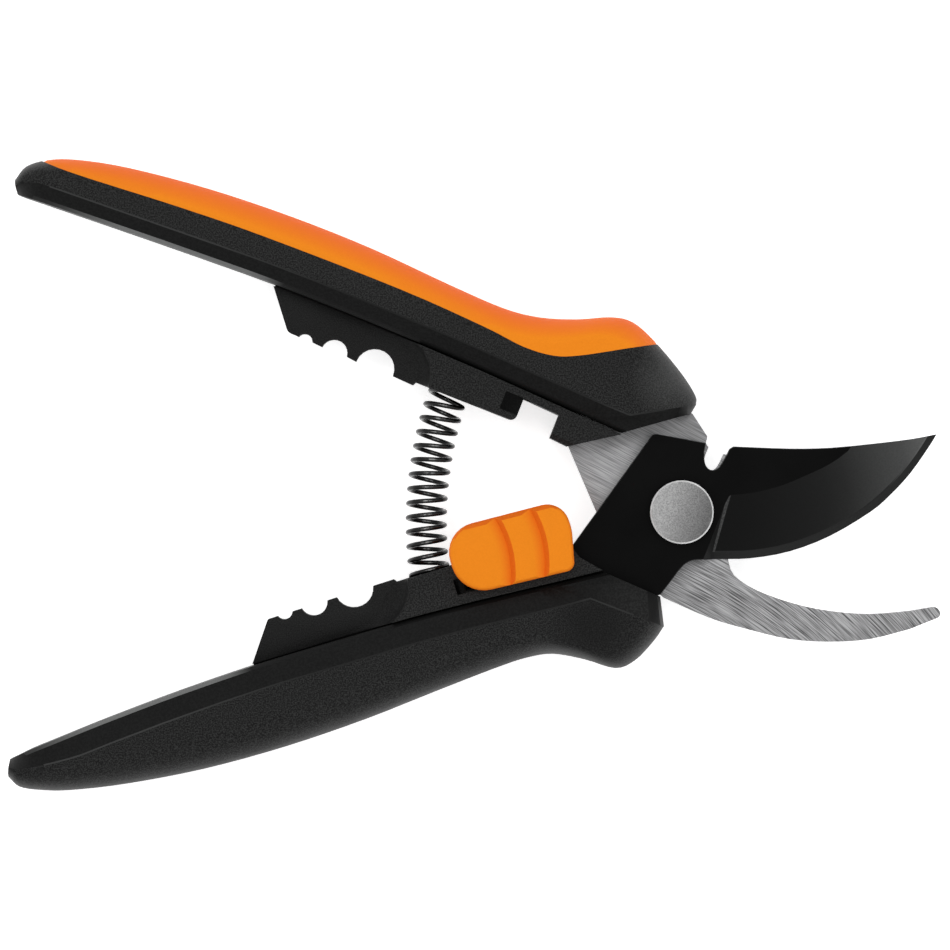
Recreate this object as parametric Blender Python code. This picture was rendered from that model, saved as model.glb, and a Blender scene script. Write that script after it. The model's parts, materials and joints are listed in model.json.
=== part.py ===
"""Floral snips: two levers on a pivot rivet, a coil spring between the handles and a sliding lock.

Lengths below are in millimetres and angles in degrees. Each lever is drawn as it lies with the tool closed:
the pivot is at the origin, X runs along the parting line towards the blade tips, Y points to the upper
handle, and Z = 0 is the plane where the two blades slide past each other. An empty per lever then opens it
by half the opening. The combs meet just before the levers are back at the drawn place.
"""

import math

import bmesh
import bpy
from mathutils import Vector

MM = 0.001
GAP = 0.3

# The opening, and the pivot's place over the middle of the footprint
OPENING = 38.9
PIVOT_POSITION = (38.81, -3.0, 7.8)

# Thicknesses along Z, and how far a cutter runs clear of what it cuts
BLADE_CLEARANCE = 0.15
CUTTING_THICKNESS = 2.5
COUNTER_THICKNESS = 2.7
CUTTING_FACES = (BLADE_CLEARANCE, BLADE_CLEARANCE + CUTTING_THICKNESS)
COUNTER_FACES = (-BLADE_CLEARANCE - COUNTER_THICKNESS, -BLADE_CLEARANCE)
HANDLE_HALF = 7.8
CORE_HALF = 6.0
COMB_HALF = 1.8
CLEAR = 1.0

# Handle section: an inner wall, a bevel up to a crease, a flat band and a round back
UPPER_CREASE = 3.2
LOWER_CREASE = 4.5
BEVEL_DROP = 1.6
EDGE_CHAMFER = 0.7
OUTER_ROUND = 6.4
ROUND_STEPS = 6
STATION_STEPS = 4

# Pivot
RIVET_HEAD_RADIUS = 5.95
RIVET_HEAD_HEIGHT = 1.7
RIVET_RIM = 0.45
SHANK_RADIUS = 3.5
PIVOT_SEGMENTS = 40

# Combs: a line along the tips of the teeth, outer end first, and arcs (centre, radius) for stems
PARTING = 4.1
LOWER_TEETH = ((-80.1, 4.15), (-55.3, 4.18))
UPPER_TEETH = ((-80.4, 4.45), (-55.6, 3.75))
LOWER_NOTCHES = ((-76.7, 4.72, 1.58), (-70.9, 4.69, 2.59), (-62.95, 4.92, 3.67))
UPPER_NOTCHES = ((-77.5, 3.93, 1.48), (-71.6, 3.98, 2.52), (-63.45, 4.04, 3.71))
NOTCH_STEPS = 11
SCOOP_RIM = ((-59.4, 8.4), (-57.7, 7.4), (-55.3, 5.8), (-53.4, 3.4), (-52.6, 0.2), (-52.4, -1.5))
SCOOP_REACH = 5.0
SCOOP_STEPS = 5
SCOOP_END = -95.0

# Return spring, which follows an arc round the pivot from one pocket to the other
SPRING_RADIUS = 48.4
COIL_RADIUS = 3.4
WIRE = 0.8
TURNS = 17.5
CURL_POINTS = 9
END_PITCH = 1.4
LOWER_POCKET = (-52.7, -44.2)
UPPER_POCKET = (-52.6, -42.8)
POCKET_HALF = 4.2
LOWER_POCKET_FLOOR = -3.0
UPPER_POCKET_FLOOR = 10.4

# Lock: the button's travel away from the pivot, and the peg that goes under the catch
LOCK_TRAVEL = 4.8
LOCK_BASE = CORE_HALF + GAP
LOCK_TOP = 9.3
LOCK_DIP = 8.3
LOCK_SIDES = ((LOCK_BASE, 0.0), (8.2, 0.0), (8.8, 0.15), (9.2, 0.5), (9.5, 1.1))
LOCK_CHAMFER = ((-50.0, 9.63, 10.53), (-15.0, 7.79, 8.69))
LOCK_CHAMFER_DROP = 1.2
THUMB_STEPS = (-32.2, -25.6)
THUMB_ENDS = (-52.0, -15.0)
THUMB_RAMP = 2.9
THUMB_RISE = 0.9
THUMB_BEND = 0.0256
THUMB_MIDDLE = 4.5
TRACK_DEPTH = 2.4
TRACK_ROOM = (1.8, 0.4)
STEM = (-37.8, -28.0, -1.5, 0.1)
PEG = (-33.2, -30.8, 6.4, 8.8)
PEG_BOTTOM = 1.5
RETAINER = (-40.0, -25.8, -3.2, 1.8)
RETAINER_THICKNESS = 1.0
RETAINER_CORNER = 1.2
CATCH = (-38.9, -34.0, 5.6, 9.1)
CATCH_FLOOR = 1.0
BLOCK_CHAMFER = ((-30.0, 5.0, 4.05), (-22.0, 4.33, 3.38))
BLOCK_CHAMFER_DROP = 1.0

# Handles. A station is a section: its start on the inner edge, its end on the back, and its half height.
# The sections turn towards the nose, whose front has a bevel of its own from the last station's crease.
UPPER_STATIONS = (
    (-137.6, 10.0, -139.2, 12.6, 5.0),
    (-136.2, 10.05, -138.2, 15.6, 6.4),
    (-133.6, 10.2, -134.9, 18.2, 7.4),
    (-129.0, 10.4, -129.6, 20.3, 7.8),
    (-120.0, 10.8, -120.0, 22.4, 7.8),
    (-104.6, 11.4, -104.6, 24.2, 7.8),
    (-88.0, 11.9, -88.0, 25.0, 7.8),
    (-72.0, 11.9, -72.0, 24.9, 7.8),
    (-57.0, 11.6, -56.0, 23.9, 7.8),
    (-47.5, 11.3, -45.0, 23.5, 7.8),
    (-41.5, 11.0, -38.0, 24.4, 7.8),
    (-36.5, 10.75, -31.4, 26.6, 7.8),
    (-32.5, 10.6, -25.6, 29.3, 7.8),
    (-29.5, 10.45, -21.4, 29.9, 7.8),
    (-26.5, 10.3, -16.2, 28.0, 7.8),
    (-23.8, 10.15, -9.6, 24.4, 7.8),
    (-22.2, 10.1, -5.5, 21.4, 7.8),
    (-21.0, 10.05, -4.7, 19.8, 7.8),
)
UPPER_NOSE = (-15.9, 9.7, -5.0, 17.9)
LOWER_STATIONS = (
    (-134.0, -6.3, -135.4, -9.6, 5.0),
    (-132.4, -6.1, -134.0, -11.9, 6.4),
    (-129.6, -5.7, -130.4, -13.7, 7.4),
    (-124.6, -5.3, -125.0, -15.4, 7.8),
    (-114.6, -4.5, -114.6, -17.4, 7.8),
    (-100.0, -3.7, -100.0, -19.1, 7.8),
    (-84.0, -3.3, -84.0, -19.7, 7.8),
    (-69.0, -3.5, -68.0, -19.3, 7.8),
    (-56.0, -3.8, -53.0, -18.2, 7.8),
    (-47.5, -4.2, -42.0, -17.5, 7.8),
    (-42.8, -4.5, -36.0, -17.4, 7.8),
    (-39.0, -4.75, -31.0, -18.2, 7.8),
    (-35.4, -5.0, -25.6, -21.0, 7.8),
    (-32.4, -5.2, -20.6, -24.3, 7.8),
    (-30.2, -5.4, -16.6, -24.0, 7.8),
    (-28.2, -5.55, -12.2, -21.6, 7.8),
    (-26.9, -5.65, -9.5, -19.5, 7.8),
)
LOWER_NOSE = (-17.2, -6.4, -8.5, -14.0)
GRIP_EDGE = (
    (-137.4, 17.6),
    (-129.0, 17.4),
    (-108.7, 18.7),
    (-91.6, 19.4),
    (-64.4, 19.5),
    (-47.1, 18.7),
    (-39.0, 17.9),
    (-33.1, 18.4),
    (-28.6, 20.2),
    (-22.3, 23.8),
    (-14.6, 28.3),
)
GRIP_REACH = 40.0
GRIP_TONGUE_HALF = 3.2
GRIP_TONGUE = (
    (-118.0, 14.5),
    (-36.0, 14.5),
    (-26.0, 18.0),
    (-17.0, 24.4),
    (-18.6, 26.8),
    (-27.0, 24.6),
    (-36.0, 21.0),
    (-60.0, 21.8),
    (-88.0, 22.4),
    (-118.0, 20.2),
)

# Tongues that hold the cores in grooves along the handles
CORE_TONGUE_HALF = 1.2
LOWER_TONGUE = (
    (-84.6, -2.2),
    (-85.2, -3.0),
    (-85.2, -5.2),
    (-56.0, -5.6),
    (-26.0, -7.0),
    (-26.0, -4.6),
    (-44.0, -3.4),
    (-56.0, -3.1),
)
UPPER_TONGUE = (
    (-86.5, 13.5),
    (-86.5, 11.4),
    (-86.0, 10.8),
    (-54.0, 10.65),
    (-42.5, 10.6),
    (-38.0, 9.8),
    (-27.0, 9.4),
    (-27.0, 11.9),
    (-46.0, 12.2),
    (-47.5, 13.5),
)

# Flat outlines of the tangs, drawn anticlockwise, up to where the blades come out of the handles
CUTTING_TANG = (
    (-20.7, 0.7),
    (-24.0, -1.8),
    (-24.0, -7.6),
    (-44.0, -8.2),
    (-44.0, -12.4),
    (-20.0, -13.2),
    (-8.4, -13.6),
    (-4.0, -6.0),
    (-16.0, 4.2),
)
COUNTER_TANG = (
    (-24.1, 3.6),
    (-9.0, 0.0),
    (2.0, 12.0),
    (-4.7, 18.0),
    (-20.0, 18.0),
    (-44.0, 17.2),
    (-44.0, 13.2),
    (-26.0, 12.8),
    (-25.6, 5.4),
)

# Grinding: the line of the cutting edge, run on past both ends, with a bevel and a steeper hone square to it.
# Both stop at the plunge, a sloping facet whose upper end is this line on the blade's face.
EDGE_LINE = (
    (-4.0, -8.2),
    (3.6, -10.4),
    (10.4, -12.35),
    (17.8, -13.2),
    (25.4, -12.7),
    (33.0, -11.0),
    (40.0, -7.95),
    (46.2, -3.85),
    (52.2, 1.3),
)
EDGE_STEPS = 3
EDGE_LEFT = 0.55
EDGE_PAST = 1.0
BEVEL_REACH = 12.6
HONE_LEFT = 0.1
HONE_REACH = 3.0
HONE_SLOPE = 0.48
WEDGE_LIFT = 2.0
PLUNGE = ((11.2, 3.0), (-1.5, -13.1))
PLUNGE_SLOPE = 0.7
PLUNGE_BACK = -20.0

# Finishes: colour, roughness and metallic value
COATED_STEEL = ((0.022, 0.022, 0.024), 0.42, 0.6)
BRUSHED_STEEL = ((0.40, 0.40, 0.41), 0.34, 1.0)
PIVOT_STEEL = ((0.50, 0.50, 0.50), 0.36, 1.0)
SPRING_STEEL = ((0.020, 0.020, 0.022), 0.35, 0.5)
BLACK_PLASTIC = ((0.021, 0.022, 0.023), 0.55, 0.0)
ORANGE_RUBBER = ((0.84, 0.24, 0.022), 0.62, 0.0)
ORANGE_PLASTIC = ((0.84, 0.22, 0.018), 0.48, 0.0)


def clear_scene():
    for obj in list(bpy.data.objects):
        bpy.data.objects.remove(obj)


def make_material(name, finish):
    colour, roughness, metallic = finish
    material = bpy.data.materials.new(name)
    material.use_nodes = True
    shader = material.node_tree.nodes["Principled BSDF"]
    shader.inputs["Base Color"].default_value = (*colour, 1.0)
    shader.inputs["Roughness"].default_value = roughness
    shader.inputs["Metallic"].default_value = metallic
    material.diffuse_color = (*colour, 1.0)
    return material


def make_empty(name, location, turn, parent):
    empty = bpy.data.objects.new(name, None)
    bpy.context.scene.collection.objects.link(empty)
    empty.location = [value * MM for value in location]
    empty.rotation_euler = (0.0, 0.0, math.radians(turn))
    empty.parent = parent
    return empty


def make_object(name, data, parent, finish=None):
    """An object in the scene; without a finish it is a cutter, which is left out of the object."""
    obj = bpy.data.objects.new(name, data)
    bpy.context.scene.collection.objects.link(obj)
    obj.parent = parent
    if finish is None:
        obj.hide_render = True
        obj.display_type = "WIRE"
    else:
        data.materials.append(make_material(name, finish))
    return obj


def mesh_from(build, smooth_angle=None):
    """A mesh in metres from a function that fills a bmesh in millimetres."""
    shape = bmesh.new()
    build(shape)
    bmesh.ops.recalc_face_normals(shape, faces=shape.faces)
    bmesh.ops.scale(shape, vec=(MM, MM, MM), verts=shape.verts)
    mesh = bpy.data.meshes.new("shape")
    shape.to_mesh(mesh)
    shape.free()
    if smooth_angle is not None:
        mesh.shade_smooth()
        mesh.set_sharp_from_angle(angle=math.radians(smooth_angle))
    return mesh


def loft(rings, smooth_angle=None):
    """A closed mesh through rings of points, all with the same count, capped at both ends."""

    def build(shape):
        rows = [[shape.verts.new(point) for point in ring] for ring in rings]
        for first, second in zip(rows, rows[1:]):
            for here in range(len(first)):
                after = (here + 1) % len(first)
                shape.faces.new((first[here], first[after], second[after], second[here]))
        shape.faces.new(rows[0])
        shape.faces.new(rows[-1])

    return mesh_from(build, smooth_angle)


def prism(outline, bottom, top):
    """The flat outline, drawn in XY, pulled up from one height to another."""
    return loft([[(x, y, height) for x, y in outline] for height in (bottom, top)])


def turned(profile, segments=PIVOT_SEGMENTS):
    """A solid of revolution about Z; the profile is (radius, height) from one end to the other."""
    rings = []
    for radius, height in profile:
        ring = []
        for step in range(segments):
            angle = 2.0 * math.pi * step / segments
            ring.append((radius * math.cos(angle), radius * math.sin(angle), height))
        rings.append(ring)
    return loft(rings, 30.0)


def box(x0, x1, y0, y1, z0, z1):
    return prism([(x0, y0), (x1, y0), (x1, y1), (x0, y1)], z0, z1)


def apply_boolean(obj, tool, operation="DIFFERENCE"):
    modifier = obj.modifiers.new(operation.lower(), "BOOLEAN")
    modifier.operation = operation
    modifier.solver = "EXACT"
    modifier.object = tool


def cut(obj, mesh, operation="DIFFERENCE"):
    """Cuts obj with a mesh drawn in the same lever's frame."""
    tool = make_object(obj.name + "_cutter", mesh, obj.parent)
    apply_boolean(obj, tool, operation)


def smooth(points, steps):
    """A Catmull-Rom curve through points of any dimension, with this many steps in each span."""
    points = [Vector(point) for point in points]
    padded = [2 * points[0] - points[1], *points, 2 * points[-1] - points[-2]]
    curve = []
    for before, start, end, after in zip(padded, padded[1:], padded[2:], padded[3:]):
        for step in range(steps):
            t = step / steps
            bend = 2 * before - 5 * start + 4 * end - after
            twist = 3 * start - before - 3 * end + after
            curve.append((2 * start + (end - before) * t + bend * t * t + twist * t * t * t) / 2)
    curve.append(points[-1])
    return curve


def flat_curve(points, steps=3):
    return [tuple(point) for point in smooth(points, steps)]


def rounded(corners, steps=4):
    """An outline from (x, y, corner radius), with each corner turned into an arc-like curve."""
    outline = []
    for index, (x, y, radius) in enumerate(corners):
        corner = Vector((x, y))
        if radius == 0.0:
            outline.append((x, y))
            continue
        before = Vector(corners[index - 1][:2]) - corner
        after = Vector(corners[(index + 1) % len(corners)][:2]) - corner
        half_angle = before.angle(after) / 2
        reach = radius / math.tan(half_angle)
        start = corner + before.normalized() * reach
        end = corner + after.normalized() * reach
        inwards = (before.normalized() + after.normalized()).normalized()
        centre = corner + inwards * radius / math.sin(half_angle)
        for step in range(steps + 1):
            spoke = (start - centre).slerp(end - centre, step / steps)
            outline.append(tuple(centre + spoke.normalized() * radius))
    return outline


def grown(outline, distance):
    """The outline, drawn anticlockwise, with every edge moved outwards."""
    moved = []
    for index, point in enumerate(outline):
        here = Vector(point)
        arriving = (here - Vector(outline[index - 1])).normalized()
        leaving = (Vector(outline[(index + 1) % len(outline)]) - here).normalized()
        first = Vector((arriving.y, -arriving.x))
        second = Vector((leaving.y, -leaving.x))
        moved.append(tuple(here + (first + second) * distance / (1.0 + first.dot(second))))
    return moved


def handle_ring(station, crease_setback, bevel_drop):
    """One closed section of a handle, from its inner wall over the bevel and the flat band to the back."""
    inner_x, inner_y, outer_x, outer_y, half = station
    inner = Vector((inner_x, inner_y))
    across = Vector((outer_x, outer_y)) - inner
    width = across.length
    slant = width / abs(across.y)
    half = min(half, HANDLE_HALF)
    wall = half - bevel_drop
    depth = min(OUTER_ROUND, 0.5 * width)
    chamfer = min(EDGE_CHAMFER * slant, 0.1 * width)
    crease = min(crease_setback * slant, 0.4 * width)
    front = [(0.0, wall - EDGE_CHAMFER), (chamfer, wall), (crease, half)]
    for step in range(ROUND_STEPS):
        angle = math.radians(90.0 * step / ROUND_STEPS)
        front.append((width - depth + depth * math.sin(angle), half * math.cos(angle)))
    back = [(reach, -height) for reach, height in reversed(front)]
    ring = []
    for reach, height in front + [(width, 0.0)] + back:
        place = inner + across * (reach / width)
        ring.append((place.x, place.y, height))
    return ring


def handle_mesh(stations, nose, crease_setback):
    rings = [handle_ring(station, crease_setback, BEVEL_DROP) for station in smooth(stations, STATION_STEPS)]
    rings.append(handle_ring((*nose, HANDLE_HALF - BEVEL_DROP), crease_setback, 0.0))
    return loft(rings, 35.0)


def comb_edge(side, teeth, notches):
    """The toothed edge of a comb, from its outer end to its inner end; side is 1 on the upper core."""
    (outer_x, outer_y), (inner_x, inner_y) = teeth
    edge = []
    for middle, centre, radius in notches:
        level = outer_y + (inner_y - outer_y) * (middle - outer_x) / (inner_x - outer_x)
        mouth = math.asin(side * (level - centre) / radius)
        for step in range(NOTCH_STEPS + 1):
            angle = math.pi - mouth - (math.pi - 2.0 * mouth) * step / NOTCH_STEPS
            edge.append((middle + radius * math.cos(angle), centre + side * radius * math.sin(angle)))
    return edge


def thin_comb(core, side):
    """Hollows both faces of the core down to the comb, starting at an arc beside the spring housing."""
    rim = flat_curve([(x, PARTING + side * rise) for x, rise in SCOOP_RIM])
    far = [(SCOOP_END, rim[-1][1]), (SCOOP_END, rim[0][1])]
    levels = [(CORE_HALF + CLEAR, 0.0)]
    for step in range(SCOOP_STEPS + 1):
        angle = math.radians(90.0 * step / SCOOP_STEPS)
        height = CORE_HALF - (CORE_HALF - COMB_HALF) * math.sin(angle)
        levels.append((height, SCOOP_REACH * (1.0 - math.cos(angle))))
    for face in (1, -1):
        rings = []
        for height, reach in levels:
            rings.append([(x, y, face * height) for x, y in [(x - reach, y) for x, y in rim] + far])
        cut(core, loft(rings))


def grown_prism(outline, bottom, top):
    """The room that a flat piece needs in the one that holds it: its prism with a gap all round."""
    return prism(grown(outline, GAP), bottom - GAP, top + GAP)


def make_core(name, outline, side, tongue, lever):
    """The part that both cores share: a plate with a comb, and a tongue that goes into the handle."""
    core = make_object(name, prism(outline, -CORE_HALF, CORE_HALF), lever, BLACK_PLASTIC)
    thin_comb(core, side)
    cut(core, prism(tongue, -CORE_TONGUE_HALF, CORE_TONGUE_HALF), "UNION")
    return core


def make_lower_core(lever):
    """The insert with the lock's track: a slot for the stem in a shallow recess."""
    outer, inner = LOWER_TEETH
    seam = [(-17.4, -5.9), (-25.6, -5.4), (-42.0, -4.2), (-53.0, -3.6), (-68.0, -3.2)]
    end = rounded([(-85.4, -3.0, 0.0), (*outer, 0.4), (-78.9, outer[1], 0.0)])
    housing = [inner, (-54.9, 3.6), (-25.2, 3.1), (-21.4, -0.6), (-20.8, -2.3)]
    outline = seam + end + comb_edge(-1, LOWER_TEETH, LOWER_NOTCHES) + housing
    core = make_core("lower_core", outline, -1, LOWER_TONGUE, lever)
    cut(core, box(*LOWER_POCKET, LOWER_POCKET_FLOOR, PARTING, -POCKET_HALF, POCKET_HALF))
    x0, x1, y0, y1 = STEM
    slot = (x0 - LOCK_TRAVEL - GAP, x1 + GAP, y0 - GAP, y1 + GAP)
    cut(core, box(*slot, -CORE_HALF - CLEAR, CORE_HALF + CLEAR))
    ends, sides = TRACK_ROOM
    track = (slot[0] - ends, slot[1] + ends, slot[2] - sides, slot[3] + sides)
    cut(core, box(*track, CORE_HALF - TRACK_DEPTH, CORE_HALF + CLEAR))
    cut(core, grown_prism(CUTTING_TANG, *CUTTING_FACES))
    return core


def make_upper_core(lever):
    """The insert with the hooked catch for the lock's peg and the stop block in front of it."""
    outer, inner = UPPER_TEETH
    seam = [(-15.9, 9.4), (-28.5, 10.1), (-45.0, 10.9), (-58.0, 11.3), (-72.0, 11.6)]
    end = rounded([(-86.8, 11.6, 0.0), (-81.1, outer[1], 1.4), (-79.4, outer[1], 0.0)])
    housing = [inner, (-55.3, 4.45)]
    hook = rounded([(-37.5, 4.4, 0.0), (-35.3, 4.4, 1.2), (-35.3, 8.9, 0.0)])
    block = [(-28.1, 8.5), (-28.1, 3.9), (-24.5, 3.6)]
    outline = seam + end + comb_edge(1, UPPER_TEETH, UPPER_NOTCHES) + housing + hook + block
    core = make_core("upper_core", outline, 1, UPPER_TONGUE, lever)
    cut(core, box(*UPPER_POCKET, PARTING, UPPER_POCKET_FLOOR, -POCKET_HALF, POCKET_HALF))
    cut(core, box(*CATCH, CATCH_FLOOR, CORE_HALF + CLEAR))
    cut(core, chamfer_wedge(BLOCK_CHAMFER, CORE_HALF, BLOCK_CHAMFER_DROP))
    cut(core, grown_prism(COUNTER_TANG, *COUNTER_FACES))
    return core


def make_lower_handle(lever):
    mesh = handle_mesh(LOWER_STATIONS, LOWER_NOSE, LOWER_CREASE)
    handle = make_object("lower_handle", mesh, lever, BLACK_PLASTIC)
    cut(handle, grown_prism(LOWER_TONGUE, -CORE_TONGUE_HALF, CORE_TONGUE_HALF))
    cut(handle, grown_prism(CUTTING_TANG, *CUTTING_FACES))
    return handle


def grip_region(offset):
    """Everything outside the line where the orange insert starts."""
    edge = [(x, y + offset) for x, y in flat_curve(GRIP_EDGE, 4)]
    outline = edge + [(edge[-1][0], GRIP_REACH), (edge[0][0], GRIP_REACH)]
    return prism(outline, -2 * HANDLE_HALF, 2 * HANDLE_HALF)


def make_upper_handle(lever):
    """The black shell with a tongue under the insert, and the orange insert that is moulded round it."""
    mesh = handle_mesh(UPPER_STATIONS, UPPER_NOSE, UPPER_CREASE)
    grip = make_object("upper_grip", mesh.copy(), lever, ORANGE_RUBBER)
    handle = make_object("upper_handle", mesh, lever, BLACK_PLASTIC)
    region = make_object("grip_recess_cutter", grip_region(0.0), lever)
    cut(region, prism(GRIP_TONGUE, -GRIP_TONGUE_HALF, GRIP_TONGUE_HALF))
    apply_boolean(handle, region)
    cut(handle, grown_prism(UPPER_TONGUE, -CORE_TONGUE_HALF, CORE_TONGUE_HALF))
    cut(handle, grown_prism(COUNTER_TANG, *COUNTER_FACES))
    cut(grip, grip_region(GAP), "INTERSECT")
    cut(grip, grown_prism(GRIP_TONGUE, -GRIP_TONGUE_HALF, GRIP_TONGUE_HALF))
    return handle


def make_cutting_blade(lever):
    """The coated blade: a plate with a wire notch, ground to a bevel on the front and to a fine edge."""
    shoulder = rounded([(-20.7, 0.7, 0.0), (-0.6, 15.65, 1.2), (8.3, 11.0, 0.0)])
    notch_floor = [(6.95, 7.5), (7.3, 6.2), (8.2, 5.7), (9.4, 6.0)]
    notch = flat_curve([(7.5, 9.6), *notch_floor, (11.3, 7.7), (12.2, 8.6)])
    spine = flat_curve([(13.0, 8.8), (23.1, 5.2), (30.3, 3.1), (37.7, 1.5), (45.2, 0.1), (50.2, -0.5)])
    tip_side = [(50.2, -0.5), (48.4, -2.1), (43.3, -6.0), (38.4, -8.8), (33.9, -10.7)]
    edge = flat_curve(tip_side + [(25.4, -12.7), (17.3, -13.2), (9.7, -12.2), (3.6, -10.4)])
    heel = flat_curve([(1.7, -9.9), (-0.8, -9.3), (-2.9, -9.8), (-6.1, -12.0), (-8.4, -13.6)])
    tang = list(reversed(CUTTING_TANG[:6]))
    outline = notch + spine[:-1] + edge + heel + tang[:-1] + shoulder
    bottom, top = CUTTING_FACES
    blade = make_object("cutting_blade", prism(outline, bottom, top), lever, COATED_STEEL)
    hone_top = bottom + HONE_LEFT + HONE_REACH * HONE_SLOPE
    grind(blade, ground_lines(BEVEL_REACH, top, bottom + EDGE_LEFT))
    grind(blade, ground_lines(HONE_REACH, hone_top, bottom + HONE_LEFT))
    cut_pivot_hole(blade, bottom, top)
    return blade


def wedge(lines):
    """What a flat cutter takes off beside an edge, from lines of (start, edge, height at each) along it."""
    rings = []
    for start_x, start_y, edge_x, edge_y, start_height, edge_height in lines:
        start = Vector((start_x, start_y, start_height))
        edge = Vector((edge_x, edge_y, edge_height))
        past = edge + (edge - start) * (EDGE_PAST / (edge - start).xy.length)
        ceiling = start_height + WEDGE_LIFT
        rings.append([tuple(start), tuple(past), (past.x, past.y, ceiling), (start.x, start.y, ceiling)])
    return loft(rings)


def ground_lines(reach, start_height, edge_height):
    """Lines for a wedge that is as wide as reach all along the cutting edge."""
    edge = smooth(EDGE_LINE, EDGE_STEPS)
    lines = []
    for before, here, after in zip(edge, edge[1:], edge[2:]):
        along = after - before
        start = here + Vector((-along.y, along.x)).normalized() * reach
        lines.append((*start, *here, start_height, edge_height))
    return lines


def grind(blade, lines):
    """Takes a wedge off the blade, up to the plunge."""
    bottom, top = CUTTING_FACES
    upper, lower = (Vector(point) for point in PLUNGE)
    along = (upper - lower).normalized()
    rings = []
    for height in (bottom - CLEAR, top + 2 * WEDGE_LIFT):
        shift = Vector((along.y, -along.x)) * PLUNGE_SLOPE * (top - height)
        near = [upper + shift, lower + shift]
        outline = [*near, Vector((PLUNGE_BACK, lower.y)), Vector((PLUNGE_BACK, upper.y))]
        rings.append([(x, y, height) for x, y in outline])
    wheel = make_object("grinding_cutter", wedge(lines), blade.parent)
    cut(wheel, loft(rings))
    apply_boolean(blade, wheel)


def chamfer_wedge(lines, face_height, drop):
    """A chamfer along an edge that runs beside X, from lines of (x, y of its start, y of its edge)."""
    return wedge([(x, start, x, edge, face_height, face_height - drop) for x, start, edge in lines])


def cut_pivot_hole(blade, bottom, top):
    radius = SHANK_RADIUS + GAP
    cut(blade, turned([(radius, bottom - CLEAR), (radius, top + CLEAR)]))


def make_counter_blade(lever):
    """The hooked steel blade behind, which holds the stem; its notch meets the other one to shear wire."""
    shoulder = rounded([(-4.7, 18.0, 0.0), (-0.5, 15.0, 0.5), (-0.4, 13.8, 0.0), (0.4, 13.2, 0.0)])
    notch_floor = [(0.5, 10.7), (1.1, 9.7), (2.2, 9.3), (3.05, 9.9)]
    notch = flat_curve([(0.35, 12.0), *notch_floor, (3.4, 11.2), (3.5, 13.1)])
    collar = flat_curve([(4.9, 13.2), (8.6, 10.4), (11.0, 5.2), (11.2, 0.0), (11.5, -5.1)])
    throat = [(11.5, -5.1), (13.6, -7.4), (18.5, -8.5), (26.0, -8.3)]
    inside = flat_curve(throat + [(33.0, -7.1), (40.1, -4.9), (46.9, -1.6)])
    tip = rounded([(46.9, -1.6, 0.0), (51.2, 1.0, 1.0), (53.0, -0.2, 0.9), (48.1, -4.8, 0.0)])
    hook = [(48.1, -4.8), (41.8, -9.3), (35.0, -12.5), (27.8, -14.8)]
    outside = flat_curve(hook + [(20.2, -15.9), (12.3, -16.6), (2.9, -16.2)])
    rear = flat_curve([(2.9, -16.2), (-5.6, -13.2), (-11.0, -9.6), (-15.0, -5.6), (-24.1, 3.6)])
    tang = [COUNTER_TANG[0], *reversed(COUNTER_TANG[4:])]
    front = shoulder + notch + collar[:-1] + inside[:-1] + tip[:-1]
    outline = front + outside[:-1] + rear[:-1] + tang
    bottom, top = COUNTER_FACES
    blade = make_object("counter_blade", prism(outline, bottom, top), lever, BRUSHED_STEEL)
    cut_pivot_hole(blade, bottom, top)
    return blade


def make_pivot(lever):
    """A flat-headed rivet through both blades, closed by a collar behind the counter blade."""
    seat = CUTTING_FACES[1] + GAP
    tail = COUNTER_FACES[0] - GAP
    top = seat + RIVET_HEAD_HEIGHT
    end = tail - RIVET_HEAD_HEIGHT
    rim = RIVET_HEAD_RADIUS - RIVET_RIM
    head = [
        (rim, top),
        (RIVET_HEAD_RADIUS, top - RIVET_RIM),
        (RIVET_HEAD_RADIUS, seat),
        (SHANK_RADIUS, seat),
        (SHANK_RADIUS, end),
    ]
    make_object("pivot_rivet", turned(head), lever, PIVOT_STEEL)
    ring = [(RIVET_HEAD_RADIUS, tail), (RIVET_HEAD_RADIUS, end + RIVET_RIM), (rim, end)]
    collar = make_object("pivot_collar", turned(ring), lever, PIVOT_STEEL)
    bore = SHANK_RADIUS + GAP
    cut(collar, turned([(bore, end - CLEAR), (bore, tail + CLEAR)]))


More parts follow.
